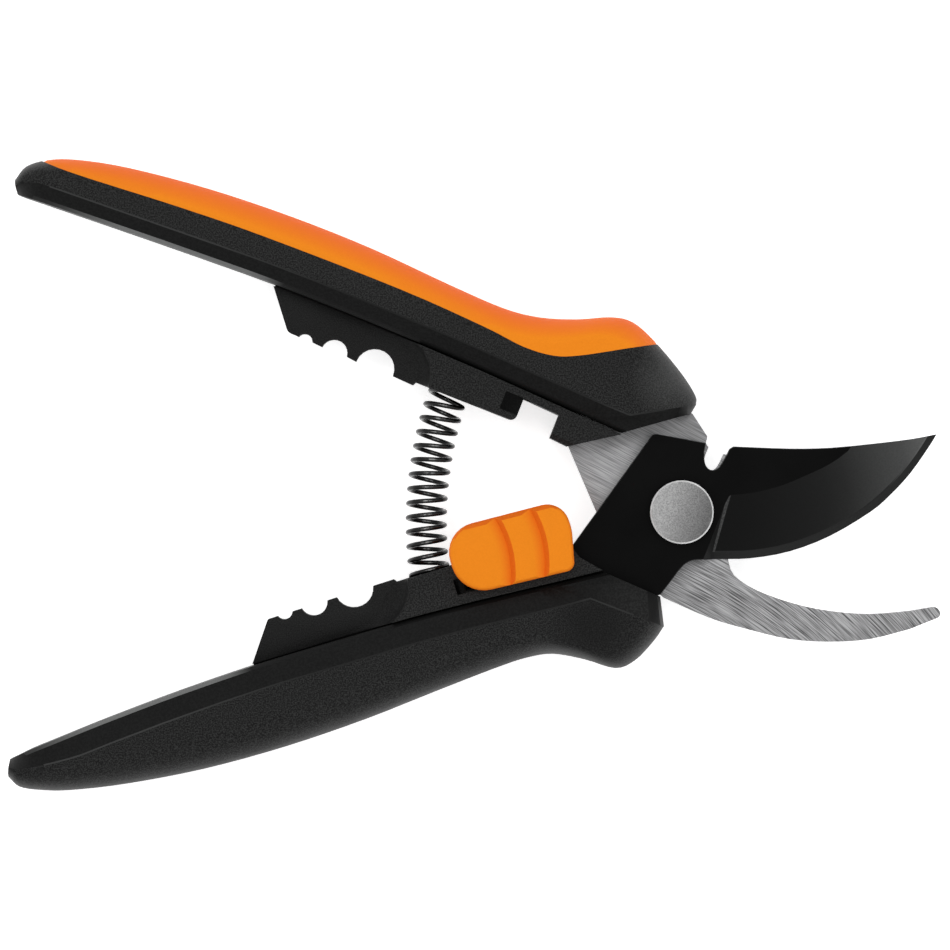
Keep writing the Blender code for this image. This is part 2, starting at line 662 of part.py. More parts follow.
def make_spring(parent):
    """One unbroken wire: a helix round an arc, with closer end turns and short straight tails."""
    room = GAP + WIRE
    start = math.radians(180.0 + OPENING / 2) - math.asin((LOWER_POCKET_FLOOR + room) / SPRING_RADIUS)
    end = math.radians(180.0 - OPENING / 2) - math.asin((UPPER_POCKET_FLOOR - room) / SPRING_RADIUS)
    length = (start - end) * SPRING_RADIUS
    body_pitch = (length - 2 * END_PITCH) / (TURNS - 2.0)
    count = round(TURNS * CURL_POINTS)
    points = []
    for index in range(count + 1):
        turn = index / CURL_POINTS
        body = min(max(turn - 1.0, 0.0), TURNS - 2.0)
        travelled = body * body_pitch + (turn - body) * END_PITCH
        around = start - travelled / SPRING_RADIUS
        curl = 2.0 * math.pi * turn
        reach = SPRING_RADIUS + COIL_RADIUS * math.cos(curl)
        height = COIL_RADIUS * math.sin(curl)
        points.append(Vector((reach * math.cos(around), reach * math.sin(around), height)))
    least = min(
        (here - there).length
        for index, here in enumerate(points)
        for there in points[index + CURL_POINTS // 2:]
    )
    print(f"return_spring: least gap to itself {least - WIRE:.2f} mm")
    first_tail = Vector((math.sin(start), -math.cos(start), 0.0)) * -WIRE
    last_tail = Vector((math.sin(end), -math.cos(end), 0.0)) * WIRE
    points = [points[0] + first_tail, *points, points[-1] + last_tail]
    curve = bpy.data.curves.new("return_spring", "CURVE")
    curve.dimensions = "3D"
    curve.bevel_depth = WIRE / 2 * MM
    curve.bevel_resolution = 1
    curve.use_fill_caps = True
    spline = curve.splines.new("POLY")
    spline.points.add(len(points) - 1)
    for knot, point in zip(spline.points, points):
        knot.co = (*(point * MM), 1.0)
    return make_object("return_spring", curve, parent, SPRING_STEEL)


def thumb_cutter():
    """Everything above the thumb face: a dip and a sharp step up at two lines, bowed across the button."""
    left, right = THUMB_ENDS
    profile = [(left, LOCK_TOP)]
    for step in THUMB_STEPS:
        profile += [(step - THUMB_RAMP, LOCK_TOP), (step - THUMB_RISE, LOCK_DIP), (step, LOCK_TOP)]
    profile += [(right, LOCK_TOP), (right, LOCK_TOP + CLEAR), (left, LOCK_TOP + CLEAR)]
    rings = []
    for across in range(-8, 16, 2):
        bow = THUMB_BEND * (across - THUMB_MIDDLE) ** 2
        rings.append([(along - bow, across, height) for along, height in profile])
    return loft(rings)


def make_lock(lever):
    """The orange button with its thumb face, its stem through the core, its peg and its rear clip."""
    outline = rounded([
        (-44.1, 10.2, 5.6),
        (-44.1, -2.6, 6.2),
        (-22.4, -4.15, 1.7),
        (-20.6, 3.4, 10.0),
        (-20.9, 9.0, 4.2),
    ], 8)
    rings = []
    for height, inset in LOCK_SIDES:
        rings.append([(x, y, height) for x, y in grown(outline, -inset)])
    button = make_object("lock_slider", loft(rings), lever, ORANGE_PLASTIC)
    cut(button, thumb_cutter())
    cut(button, chamfer_wedge(LOCK_CHAMFER, LOCK_TOP, LOCK_CHAMFER_DROP))
    x0, x1, y0, y1 = STEM
    clip = -CORE_HALF - GAP
    cut(button, box(*STEM, clip - RETAINER_THICKNESS, LOCK_BASE + CLEAR), "UNION")
    cut(button, box(*PEG, PEG_BOTTOM, LOCK_BASE + CLEAR), "UNION")
    left, right, low, high = RETAINER
    corners = [(left, low), (right, low), (right, high), (left, high)]
    plate = rounded([(*corner, RETAINER_CORNER) for corner in corners])
    sheet = prism(plate, clip - RETAINER_THICKNESS, clip)
    retainer = make_object("lock_retainer", sheet, lever, BLACK_PLASTIC)
    hole = (x0 - GAP, x1 + GAP, y0 - GAP, y1 + GAP)
    cut(retainer, box(*hole, clip - RETAINER_THICKNESS - CLEAR, clip + CLEAR))


def main():
    clear_scene()
    pivot = make_empty("pivot", PIVOT_POSITION, 0.0, None)
    lower = make_empty("lower_lever", (0.0, 0.0, 0.0), OPENING / 2, pivot)
    upper = make_empty("upper_lever", (0.0, 0.0, 0.0), -OPENING / 2, pivot)
    make_cutting_blade(lower)
    make_counter_blade(upper)
    make_pivot(lower)
    make_lower_handle(lower)
    make_upper_handle(upper)
    make_lower_core(lower)
    make_upper_core(upper)
    make_lock(lower)
    make_spring(pivot)


main()
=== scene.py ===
"""Floral snips: finishes, rounded edges, the coil spring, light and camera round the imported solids."""

import json
import math

import bmesh
import bpy
from mathutils import Matrix, Vector


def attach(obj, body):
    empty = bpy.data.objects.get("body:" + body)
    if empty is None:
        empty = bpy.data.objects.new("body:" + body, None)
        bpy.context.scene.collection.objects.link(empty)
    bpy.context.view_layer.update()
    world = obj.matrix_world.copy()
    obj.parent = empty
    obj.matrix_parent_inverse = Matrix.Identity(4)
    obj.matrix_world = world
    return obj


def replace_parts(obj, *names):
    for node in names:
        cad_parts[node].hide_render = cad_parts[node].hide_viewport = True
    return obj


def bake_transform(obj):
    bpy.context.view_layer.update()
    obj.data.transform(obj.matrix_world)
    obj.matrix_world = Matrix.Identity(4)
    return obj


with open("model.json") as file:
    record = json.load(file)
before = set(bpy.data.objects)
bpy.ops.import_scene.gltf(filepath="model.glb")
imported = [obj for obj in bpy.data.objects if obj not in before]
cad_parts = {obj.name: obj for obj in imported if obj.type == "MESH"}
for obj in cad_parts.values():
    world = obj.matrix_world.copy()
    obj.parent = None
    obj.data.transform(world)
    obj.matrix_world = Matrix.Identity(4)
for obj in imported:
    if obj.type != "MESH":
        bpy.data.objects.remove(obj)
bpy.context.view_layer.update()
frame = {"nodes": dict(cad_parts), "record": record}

MM = 0.001

# The pivot of the two levers, and how far each is turned from the place where its parting line runs along X
PIVOT = Vector(frame["record"]["behaviour"]["joints"][0]["pos_m"])
HALF_OPENING = math.radians(19.45)

# Camera: the photograph is taken square on, turned a little about the line of sight
CAMERA_HEIGHT = 1.0
CAMERA_TURN = math.radians(1.95)
CAMERA_OVER = (-0.00014, 0.00263)
FRAME_WIDTH = 0.1786
SENSOR = 36.0

# Corners nearer than WELD metres are joined, faces that turn by less than FLAT_ANGLE degrees are one face,
# and edges that turn by more than SHARP_ANGLE degrees are sharp
WELD = 0.000002
FLAT_ANGLE = 0.3
SHARP_ANGLE = 30.0

# The range of the noise in which the grain of the plastic turns from its dark to its light shade
GRAIN_LOW = 0.42
GRAIN_HIGH = 0.60

# Brushing of the counter blade, in metres from the pivot: its direction, where it starts to bend and how
# much, its lines a metre along and across, and the middle of its painted sheen, with painted shade round it
BRUSH_ANGLE = math.radians(26.0)
BRUSH_BEND_START = 0.0107
BRUSH_BEND = 5.2
BRUSH_ALONG = 150.0
BRUSH_ACROSS = 5200.0
BRUSH_SHEEN_CENTRE = (-0.0130, 0.0086, 0.0)


class Nodes:
    """Adds shader nodes to one material and links them."""

    def __init__(self, name):
        self.material = bpy.data.materials.new(name)
        self.material.use_nodes = True
        self.tree = self.material.node_tree
        self.shader = self.tree.nodes["Principled BSDF"]

    def add(self, kind, **values):
        node = self.tree.nodes.new("ShaderNode" + kind)
        for name, value in values.items():
            setattr(node, name, value)
        return node

    def link(self, source, target):
        self.tree.links.new(source, target)

    def coordinates(self):
        return self.add("TexCoord").outputs["Object"]

    def noise(self, place, scale, detail=2.0, roughness=0.5):
        node = self.add("TexNoise")
        node.inputs["Scale"].default_value = scale
        node.inputs["Detail"].default_value = detail
        node.inputs["Roughness"].default_value = roughness
        self.link(place, node.inputs["Vector"])
        return node.outputs["Fac"]

    def ramp(self, factor, *stops):
        """Colours along the factor; each stop is a value of the factor and its colour."""
        node = self.add("ValToRGB")
        elements = node.color_ramp.elements
        for element, (value, colour) in zip(elements, (stops[0], stops[-1])):
            element.position = value
            element.color = (*colour, 1.0)
        for value, colour in stops[1:-1]:
            elements.new(value).color = (*colour, 1.0)
        self.link(factor, node.inputs["Fac"])
        return node.outputs["Color"]

    def spread(self, factor, low, high, start=0.3, end=0.7):
        """A value from low to high while the factor runs from start to end."""
        node = self.add("MapRange")
        for socket, value in (("From Min", start), ("From Max", end), ("To Min", low), ("To Max", high)):
            node.inputs[socket].default_value = value
        self.link(factor, node.inputs["Value"])
        return node.outputs["Result"]

    def math(self, operation, first, second):
        """The result of a sum on a socket and another socket or a number."""
        node = self.add("Math", operation=operation)
        self.link(first, node.inputs[0])
        if isinstance(second, float):
            node.inputs[1].default_value = second
        else:
            self.link(second, node.inputs[1])
        return node.outputs["Value"]

    def vector_math(self, operation, vector, fixed, output="Value"):
        """The result of a sum on a vector socket and a fixed vector."""
        node = self.add("VectorMath", operation=operation)
        node.inputs[1].default_value = fixed
        self.link(vector, node.inputs[0])
        return node.outputs[output]

    def mix(self, factor, first, second):
        """A colour between two colour sockets."""
        node = self.add("MixRGB")
        self.link(factor, node.inputs["Fac"])
        self.link(first, node.inputs["Color1"])
        self.link(second, node.inputs["Color2"])
        return node.outputs["Color"]

    def times(self, first, second):
        """The product of two colour sockets."""
        node = self.add("MixRGB", blend_type="MULTIPLY")
        node.inputs["Fac"].default_value = 1.0
        self.link(first, node.inputs["Color1"])
        self.link(second, node.inputs["Color2"])
        return node.outputs["Color"]

    def bump(self, height, strength, distance):
        node = self.add("Bump")
        node.inputs["Strength"].default_value = strength
        node.inputs["Distance"].default_value = distance
        self.link(height, node.inputs["Height"])
        return node.outputs["Normal"]

    def finish(self, colour, roughness, normal, metallic=0.0, specular=0.5):
        self.link(colour, self.shader.inputs["Base Color"])
        self.link(roughness, self.shader.inputs["Roughness"])
        self.link(normal, self.shader.inputs["Normal"])
        self.shader.inputs["Metallic"].default_value = metallic
        self.shader.inputs["Specular IOR Level"].default_value = specular
        return self.material


def grey(value):
    """A dark grey with the faint green tint of the black plastic and coatings."""
    return (value, value * 1.02, value * 1.01)


def neutral(value):
    return (value, value, value)


def moulded(name, dark, light, roughness, grain, strength, specular, painted_spots=()):
    """Moulded plastic with a fine spark-eroded grain; the grain's size is in metres.

    Each of the painted spots is a patch of painted highlight or shade: a place in millimetres from the pivot,
    two distances from that place in metres, and the two shades of the grain up to the nearer distance. At the
    farther one they have faded out.
    """
    nodes = Nodes(name)
    place = nodes.coordinates()
    fine = nodes.noise(place, 1.0 / grain, 2.0, 0.7)
    broad = nodes.noise(place, 90.0)
    colour = nodes.ramp(fine, (GRAIN_LOW, dark), (GRAIN_HIGH, light))
    for spot, near, far, spot_dark, spot_light in painted_spots:
        away = nodes.vector_math("DISTANCE", place, PIVOT + Vector(spot) * MM)
        painted_spot_colour = nodes.ramp(fine, (GRAIN_LOW, spot_dark), (GRAIN_HIGH, spot_light))
        colour = nodes.mix(nodes.spread(away, 1.0, 0.0, near, far), colour, painted_spot_colour)
    rough = nodes.spread(broad, roughness - 0.05, roughness + 0.05)
    return nodes.finish(colour, rough, nodes.bump(fine, strength, 0.3 * grain), specular=specular)


def by_reach(name, stops, roughness, specular):
    """A smooth black finish with painted light: its shade changes with the distance from the pivot, in
    metres.
    """
    nodes = Nodes(name)
    place = nodes.coordinates()
    fine = nodes.noise(place, 3000.0, 3.0)
    reach = nodes.vector_math("DISTANCE", place, PIVOT)
    shade = nodes.ramp(reach, *((value, grey(tone)) for value, tone in stops))
    colour = nodes.times(shade, nodes.ramp(fine, (0.3, neutral(0.85)), (0.7, neutral(1.0))))
    rough = nodes.spread(fine, roughness - 0.04, roughness + 0.04)
    return nodes.finish(colour, rough, nodes.bump(fine, 0.08, 0.00004), specular=specular)


def orange(name, factor_of, start, end, deep):
    """Matt orange with painted shade: it turns to a deeper shade while a factor runs from start to end."""
    nodes = Nodes(name)
    place = nodes.add("TexCoord")
    fine = nodes.noise(place.outputs["Object"], 3000.0)
    plain = nodes.ramp(fine, (0.3, (0.81, 0.226, 0.008)), (0.7, (0.84, 0.242, 0.010)))
    shaded = nodes.ramp(fine, (0.3, deep), (0.7, tuple(1.03 * part for part in deep)))
    amount = nodes.spread(factor_of(nodes, place), 0.0, 1.0, start, end)
    colour = nodes.mix(amount, plain, shaded)
    rough = nodes.spread(fine, 0.55, 0.65)
    return nodes.finish(colour, rough, nodes.bump(fine, 0.05, 0.0001), specular=0.08)


def lean_to_back(nodes, place):
    """How far the grip's surface leans to the back of the upper handle, which sets its painted shade."""
    back = (math.sin(HALF_OPENING), math.cos(HALF_OPENING), 0.0)
    return nodes.vector_math("DOT_PRODUCT", place.outputs["Normal"], back)


def height(nodes, place):
    """The height over the rest plane, in metres, which sets the painted shade in the button's dips."""
    return nodes.vector_math("DOT_PRODUCT", place.outputs["Object"], (0.0, 0.0, 1.0))


def coated_steel():
    """Black low-friction coating: a fine pebble over the blade, with hardly any colour of its own."""
    nodes = Nodes("coated_steel")
    place = nodes.coordinates()
    fine = nodes.noise(place, 2600.0, 4.0, 0.6)
    broad = nodes.noise(place, 60.0, 3.0)
    colour = nodes.ramp(broad, (0.3, grey(0.0010)), (0.7, grey(0.0030)))
    rough = nodes.spread(fine, 0.34, 0.44)
    return nodes.finish(colour, rough, nodes.bump(fine, 0.12, 0.00005), specular=0.05)


def brushed_steel():
    """Steel brushed along one direction, which bends down towards the tip of the hook, with a painted sheen
    and shade.
    """
    nodes = Nodes("brushed_steel")
    offset = nodes.vector_math("SUBTRACT", nodes.coordinates(), PIVOT, "Vector")
    turned = nodes.add("VectorRotate", rotation_type="Z_AXIS")
    turned.inputs["Angle"].default_value = BRUSH_ANGLE
    nodes.link(offset, turned.inputs["Vector"])
    parts = nodes.add("SeparateXYZ")
    nodes.link(turned.outputs["Vector"], parts.inputs["Vector"])
    past = nodes.math("MAXIMUM", nodes.math("SUBTRACT", parts.outputs["X"], BRUSH_BEND_START), 0.0)
    bend = nodes.math("MULTIPLY", nodes.math("MULTIPLY", past, past), BRUSH_BEND)
    across = nodes.math("ADD", parts.outputs["Y"], bend)
    scratch = nodes.add("CombineXYZ")
    nodes.link(nodes.math("MULTIPLY", parts.outputs["X"], BRUSH_ALONG), scratch.inputs["X"])
    nodes.link(nodes.math("MULTIPLY", across, BRUSH_ACROSS), scratch.inputs["Y"])
    lines = nodes.noise(scratch.outputs["Vector"], 1.0, 2.0)
    plain = nodes.ramp(lines, (0.36, (0.24, 0.24, 0.244)), (0.64, (0.48, 0.48, 0.486)))
    marked = nodes.ramp(lines, (0.36, (0.10, 0.10, 0.102)), (0.64, (0.53, 0.53, 0.537)))
    scratched = nodes.mix(nodes.spread(parts.outputs["X"], 0.0, 1.0, -0.004, 0.010), plain, marked)
    # Painted sheen at one place on the blade, with painted shade in a ring round it
    away = nodes.vector_math("DISTANCE", offset, BRUSH_SHEEN_CENTRE)
    shade = nodes.ramp(away, (0.003, neutral(1.0)), (0.015, neutral(0.62)), (0.026, neutral(0.9)))
    colour = nodes.times(scratched, shade)
    rough = nodes.spread(lines, 0.40, 0.52)
    return nodes.finish(colour, rough, nodes.bump(lines, 0.12, 0.00003), metallic=1.0)


def pivot_steel():
    """Ground steel with a fine mottle, and painted shade that darkens it towards the blade tips."""
    nodes = Nodes("pivot_steel")
    place = nodes.coordinates()
    fine = nodes.noise(place, 4200.0, 2.0)
    to_tips = Vector((0.96, -0.28, 0.0))
    along = nodes.vector_math("DOT_PRODUCT", place, to_tips)
    middle = to_tips.dot(PIVOT)
    mottle = nodes.ramp(fine, (0.3, neutral(0.30)), (0.7, neutral(0.54)))
    shade = nodes.ramp(along, (middle - 0.004, neutral(1.0)), (middle + 0.004, neutral(0.36)))
    rough = nodes.spread(fine, 0.38, 0.48)
    return nodes.finish(nodes.times(mottle, shade), rough, nodes.bump(fine, 0.2, 0.00004), metallic=1.0)


def rim_steel():
    """The turned rim of the pivot's heads, painted near white as its bright reflection."""
    nodes = Nodes("rim_steel")
    fine = nodes.noise(nodes.coordinates(), 1500.0)
    colour = nodes.ramp(fine, (0.3, neutral(0.80)), (0.7, neutral(0.92)))
    rough = nodes.spread(fine, 0.4, 0.5)
    return nodes.finish(colour, rough, nodes.bump(fine, 0.05, 0.00003), metallic=0.2)


def spring_steel():
    """Black oxide wire, with a painted highlight where it faces straight up."""
    nodes = Nodes("spring_steel")
    place = nodes.add("TexCoord")
    fine = nodes.noise(place.outputs["Object"], 1800.0, 3.0)
    up = nodes.vector_math("DOT_PRODUCT", place.outputs["Normal"], (0.0, 0.1, 0.995))
    oxide = nodes.ramp(fine, (0.3, grey(0.0015)), (0.7, grey(0.004)))
    glint = nodes.ramp(fine, (0.4, grey(0.02)), (0.6, grey(0.3)))
    colour = nodes.mix(nodes.spread(up, 0.0, 1.0, 0.95, 0.99), oxide, glint)
    rough = nodes.spread(fine, 0.16, 0.24)
    return nodes.finish(colour, rough, nodes.bump(fine, 0.1, 0.00003), specular=0.3)


# Painted light along the blade and the handles: distances from the pivot in metres, and how light the finish
# is there.
# The bevel's tones are a painted reflection that brightens towards the tip, the hone's and the plunge's a
# painted shade near the pivot, the glint's and the creases' painted highlight lines, and the edges' a painted
# pale strip on the chamfers towards the rear of the handles
BEVEL_TONES = (
    (0.013, 0.0055),
    (0.0265, 0.011),
    (0.032, 0.020),
    (0.039, 0.047),
    (0.044, 0.066),
    (0.047, 0.094),
)
HONE_TONES = ((0.008, 0.011), (0.013, 0.022), (0.035, 0.022), (0.048, 0.020))
GLINT_TONES = ((0.040, 0.020), (0.047, 0.110))
CREASE_TONES = (
    (0.0215, 0.010),
    (0.0226, 0.027),
    (0.0231, 0.027),
    (0.0242, 0.012),
    (0.034, 0.008),
    (0.075, 0.008),
    (0.105, 0.034),
)
EDGE_TONES = ((0.086, 0.005), (0.091, 0.150), (0.118, 0.150), (0.131, 0.010))

# Painted light at the noses of the handles: a painted highlight on the upper flat band, painted shade on the
# lower flat band and a painted highlight on the lower bevel
BAND_PAINTED_LIGHT = (
    ((-2.9, 24.7, 7.0), 0.001, 0.0080, grey(0.031), grey(0.050)),
    ((-15.5, -21.2, 7.0), 0.003, 0.010, grey(0.0001), grey(0.010)),
)
BEVEL_PAINTED_LIGHT = (((-6.5, -18.0, 6.0), 0.002, 0.010, grey(0.008), grey(0.018)),)

MATERIALS = {
    "coated_steel": coated_steel(),
    "ground_steel": by_reach("ground_steel", BEVEL_TONES, 0.38, 0.05),
    "honed_steel": by_reach("honed_steel", HONE_TONES, 0.38, 0.05),
    "glint_steel": by_reach("glint_steel", GLINT_TONES, 0.38, 0.05),
    "brushed_steel": brushed_steel(),
    "pivot_steel": pivot_steel(),
    "rim_steel": rim_steel(),
    "spring_steel": spring_steel(),
    # Lighter grey for painted highlight lines on the blade's rounded edges and the fillet at the plunge
    "worn_coating": moulded("worn_coating", grey(0.015), grey(0.04), 0.4, 0.0004, 0.05, 0.3),
    "black_plastic": moulded(
        "black_plastic", grey(0.0003), grey(0.024), 0.5, 0.00026, 0.4, 0.14, BAND_PAINTED_LIGHT
    ),
    "satin_plastic": moulded(
        "satin_plastic", grey(0.003), grey(0.007), 0.45, 0.0004, 0.08, 0.10, BEVEL_PAINTED_LIGHT
    ),
    "comb_plastic": moulded("comb_plastic", grey(0.003), grey(0.015), 0.5, 0.0002, 0.2, 0.12),
    "crease_plastic": by_reach("crease_plastic", CREASE_TONES, 0.45, 0.14),
    "edge_plastic": by_reach("edge_plastic", EDGE_TONES, 0.45, 0.10),
    # Painted shade: the grip turns deeper where it leans to the back of the upper handle, the button lower in
    # its dips
    "orange_rubber": orange("orange_rubber", lean_to_back, 0.35, 1.0, (0.70, 0.112, 0.014)),
    "orange_plastic": orange("orange_plastic", height, 0.0171, 0.0157, (0.76, 0.142, 0.008)),
    "deep_orange": moulded(
        "deep_orange", (0.74, 0.138, 0.007), (0.77, 0.150, 0.009), 0.6, 0.0004, 0.04, 0.08
    ),
}
SLOTS = {part["node"]: part["material_slot"] for part in frame["record"]["subparts"]}
BODIES = {
    node: body for body, nodes in frame["record"]["behaviour"]["bodies"].items() for node in nodes
}


def new_piece(name, shape, slots, body):
    """A piece from a bmesh in metres, with its finishes, on its body."""
    for face in shape.faces:
        face.smooth = True
    mesh = bpy.data.meshes.new(name)
    shape.to_mesh(mesh)
    shape.free()
    piece = bpy.data.objects.new(name, mesh)
    bpy.context.scene.collection.objects.link(piece)
    for slot in slots:
        mesh.materials.append(MATERIALS[slot])
    if body:
        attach(piece, body)
    return piece


def from_node(node):
    """A node's solid as a bmesh, with its triangles joined into flat faces."""
    shape = bmesh.new()
    shape.from_mesh(frame["nodes"][node].data)
    bmesh.ops.remove_doubles(shape, verts=shape.verts, dist=WELD)
    flat_angle = math.radians(FLAT_ANGLE)
    bmesh.ops.dissolve_limit(shape, angle_limit=flat_angle, verts=shape.verts, edges=shape.edges)
    return shape


def inner_edges(shape):
    return [edge for edge in shape.edges if len(edge.link_faces) == 2]


def round_edges(shape, edges, offset, segments):
    """Rounds edges by an offset in millimetres, and returns the faces that this makes."""
    made = bmesh.ops.bevel(
        shape,
        geom=edges,
        offset=offset * MM,
        segments=segments,
        profile=0.5,
        affect="EDGES",
        clamp_overlap=True,
    )
    return made["faces"]


def crease(shape, sharp_angle):
    """Marks the edges that turn by more than this angle, in degrees, as sharp."""
    for edge in inner_edges(shape):
        edge.smooth = edge.calc_face_angle() < math.radians(sharp_angle)


def to_lever(node):
    """The turn that brings a node's lever to the place where it is drawn."""
    return Matrix.Rotation(HALF_OPENING if BODIES[node] == "upper_lever" else -HALF_OPENING, 3, "Z")


def stretch(shape, node):
    """Moves the corners in a node's stretch boxes, so that what they bound reaches further."""
    turn = to_lever(node)
    for low, high, move in STRETCHES.get(node, ()):
        for corner in shape.verts:
            place = turn @ (corner.co - PIVOT) / MM
            if all(a < b < c for a, b, c in zip(low, place, high)):
                corner.co += turn.inverted() @ Vector(move) * MM


def narrow_rim(shape):
    """Moves the inner edge of the rim of the pivot's heads outwards."""
    for corner in shape.verts:
        reach = (corner.co - PIVOT).to_2d()
        if math.isclose(reach.length / MM, RIM_DRAWN, abs_tol=0.05):
            corner.co.xy = PIVOT.xy + reach * (RIM_SHOWN / RIM_DRAWN)


def dress(node, edge_round, kind_of, rounds, finishes, never_sharp=()):
    """A node's solid with its finishes, in place of the node.

    Sharp edges are rounded first, if edge_round isn't 0. Then the faces are sorted into kinds by their
    normals and places. Each of rounds gives two kinds, the offset and segments of the rounding between them,
    and the kind of the new faces. Edges between two kinds are sharp, unless one of them is in never_sharp.
    """
    shape = from_node(node)
    stretch(shape, node)
    if kind_of is rivet_kind:
        narrow_rim(shape)
    if edge_round:
        limit = math.radians(SHARP_ANGLE)
        round_edges(shape, [e for e in inner_edges(shape) if e.calc_face_angle() > limit], edge_round, 2)
    shape.normal_update()
    kinds = shape.faces.layers.string.new("kind")
    turn = to_lever(node)
    for face in shape.faces:
        middle = turn @ (face.calc_center_median() - PIVOT) / MM
        face[kinds] = kind_of(turn @ face.normal, middle).encode()
    for first, second, offset, segments, kind in rounds:
        pair = {first.encode(), second.encode()}
        edges = [e for e in inner_edges(shape) if {face[kinds] for face in e.link_faces} == pair]
        for face in round_edges(shape, edges, offset, segments):
            face[kinds] = kind.encode()
    crease(shape, SHARP_ANGLE)
    for edge in inner_edges(shape):
        here, there = (face[kinds].decode() for face in edge.link_faces)
        if here != there and here not in never_sharp and there not in never_sharp:
            edge.smooth = False
    slots = [SLOTS[node], *sorted(set(finishes.values()))]
    for face in shape.faces:
        kind = face[kinds].decode()
        if kind in finishes:
            face.material_index = slots.index(finishes[kind])
    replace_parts(new_piece(node + "_form", shape, slots, BODIES[node]), node)


def blade_kind(normal, _):
    """Faces of the cutting blade, by how far they lean from its flat."""
    if normal.z > 0.998:
        return "flat"
    if normal.z > 0.965:
        return "bevel"
    if normal.z > 0.8:
        return "hone"
    if normal.z > 0.4:
        return "plunge"
    if normal.z < -0.9:
        return "back"
    return "side"


def handle_kind(side, end, front):
    """Faces of a handle: its flat band, its round back, and the bevel, chamfer and wall of its inner side.

    The side is 1 on the upper lever and -1 on the lower one, and the chamfer runs as far as end. Faces at the
    front of the nose are round if they lean inwards by less than front.
    """

    def kind_of(normal, middle):
        inwards = -side * normal.y
        level = abs(normal.z)
        if level > 0.998 and abs(middle.z) > 7.0:
            return "band"
        if level < 0.998 and inwards < (0.15 if normal.x < 0.2 else front):
            return "round"
        if level > 0.8 or middle.x < end or (level > 0.4 and abs(middle.z) > 5.95):
            return "bevel"
        return "chamfer" if level > 0.4 else "wall"

    return kind_of


def core_kind(normal, middle):
    """Faces of a core: its thin comb, the floor of the catch and the rest."""
    if middle.x < -53.0 and normal.z > 0.3:
        return "comb"
    return "floor" if normal.z > 0.9 and middle.z < 3.8 else "rest"


def plain_kind(_, __):
    return "rest"


def rivet_kind(normal, _):
    """Faces of the pivot's heads: the flat, the rim round it and the rest."""
    level = abs(normal.z)
    if level > 0.99:
        return "flat"
    return "rim" if level > 0.3 else "side"


def button_kind(normal, middle):
    """Faces of the lock button: the chamfer along it, the two steps for the thumb and their ramps."""
    if normal.z > 0.98:
        return "top"
    if normal.y > 0.5 and normal.z > 0.4 and middle.y > 6.0:
        return "chamfer"
    if -38.0 < middle.x < -23.0 and normal.z > 0.4:
        if normal.x < -0.4:
            return "riser"
        if normal.x > 0.2:
            return "ramp"
    return "side"


# Corners to move, as the box they are in and the move, in millimetres on the lever as drawn: the line where
# the blade's bevel starts runs a little nearer to the edge, the tongues of the cores close the seams up to
# the tangs, and the clip behind the lock covers its slot
STRETCHES = {
    "cutting_blade": (
        ((9.0, 0.0, 2.6), (10.5, 1.5, 2.7), (-0.2, -0.55, 0.0)),
        ((10.5, -1.0, 2.6), (12.0, 1.0, 2.7), (0.0, -0.5, 0.0)),
        ((12.0, -1.0, 2.6), (15.0, 1.0, 2.7), (0.0, -0.4, 0.0)),
        ((15.0, -1.0, 2.6), (24.5, 1.0, 2.7), (0.0, -0.3, 0.0)),
        ((24.5, -1.0, 2.6), (26.5, 1.0, 2.7), (0.0, -0.42, 0.0)),
        ((26.5, -1.0, 2.6), (28.5, 1.0, 2.7), (0.0, -0.6, 0.0)),
        ((28.5, 0.0, 2.6), (30.0, 1.5, 2.7), (0.1, -0.75, 0.0)),
        ((30.0, 1.0, 2.6), (31.5, 2.0, 2.7), (0.3, -0.85, 0.0)),
        ((32.2, 2.0, 2.6), (32.5, 2.4, 2.7), (0.85, -0.75, 0.0)),
        ((32.7, 2.4, 2.6), (32.9, 2.6, 2.7), (1.3, -0.27, 0.0)),
    ),
    "lower_core": (
        ((-26.1, -7.1, 1.1), (-25.9, -4.5, 1.3), (3.0, 0.0, -1.45)),
        ((-26.1, -7.1, -1.3), (-25.9, -4.5, -1.1), (3.0, 0.0, 0.0)),
    ),
    "upper_core": (
        ((-27.1, 9.3, 1.1), (-26.9, 12.0, 1.3), (2.0, 0.0, 0.0)),
        ((-27.1, 9.3, -1.3), (-26.9, 12.0, -1.1), (2.0, 0.0, 1.45)),
    ),
    "lock_retainer": (((-40.1, -3.3, -7.4), (-38.7, 1.9, -6.2), (-3.6, 0.0, 0.0)),),
}
BLADE_ROUNDS = (
    ("plunge", "bevel", 0.4, 3, "fillet"),
    ("bevel", "hone", 0.16, 1, "glint"),
    ("flat", "side", 0.12, 1, "line"),
    ("back", "side", 0.12, 1, "line"),
)
# On the blade: a painted reflection on the bevel, painted shade on the hone and plunge, and painted highlight
# lines on the glint, the fillet and the rounded edges
BLADE_FINISHES = {
    "bevel": "ground_steel",
    "plunge": "honed_steel",
    "fillet": "worn_coating",
    "hone": "honed_steel",
    "glint": "glint_steel",
    "line": "worn_coating",
}
HANDLE_ROUNDS = (
    ("band", "bevel", 0.16, 1, "line"),
    ("chamfer", "wall", 0.2, 2, "chamfer"),
)
# The handles' crease lines and chamfers take painted highlight tones; the bevel and wall the plain satin
# finish
HANDLE_FINISHES = {
    "bevel": "satin_plastic",
    "chamfer": "edge_plastic",
    "wall": "satin_plastic",
    "line": "crease_plastic",
}
RIVET_FINISHES = {"rim": "rim_steel"}
# The floors of the recesses in the cores take the darker satin finish, as painted shade in the catch and the
# slot
CORE_FINISHES = {"comb": "comb_plastic", "floor": "satin_plastic"}
# The button's chamfer and risers take the shaded orange as painted shade
BUTTON_FINISHES = {"chamfer": "deep_orange", "riser": "deep_orange"}

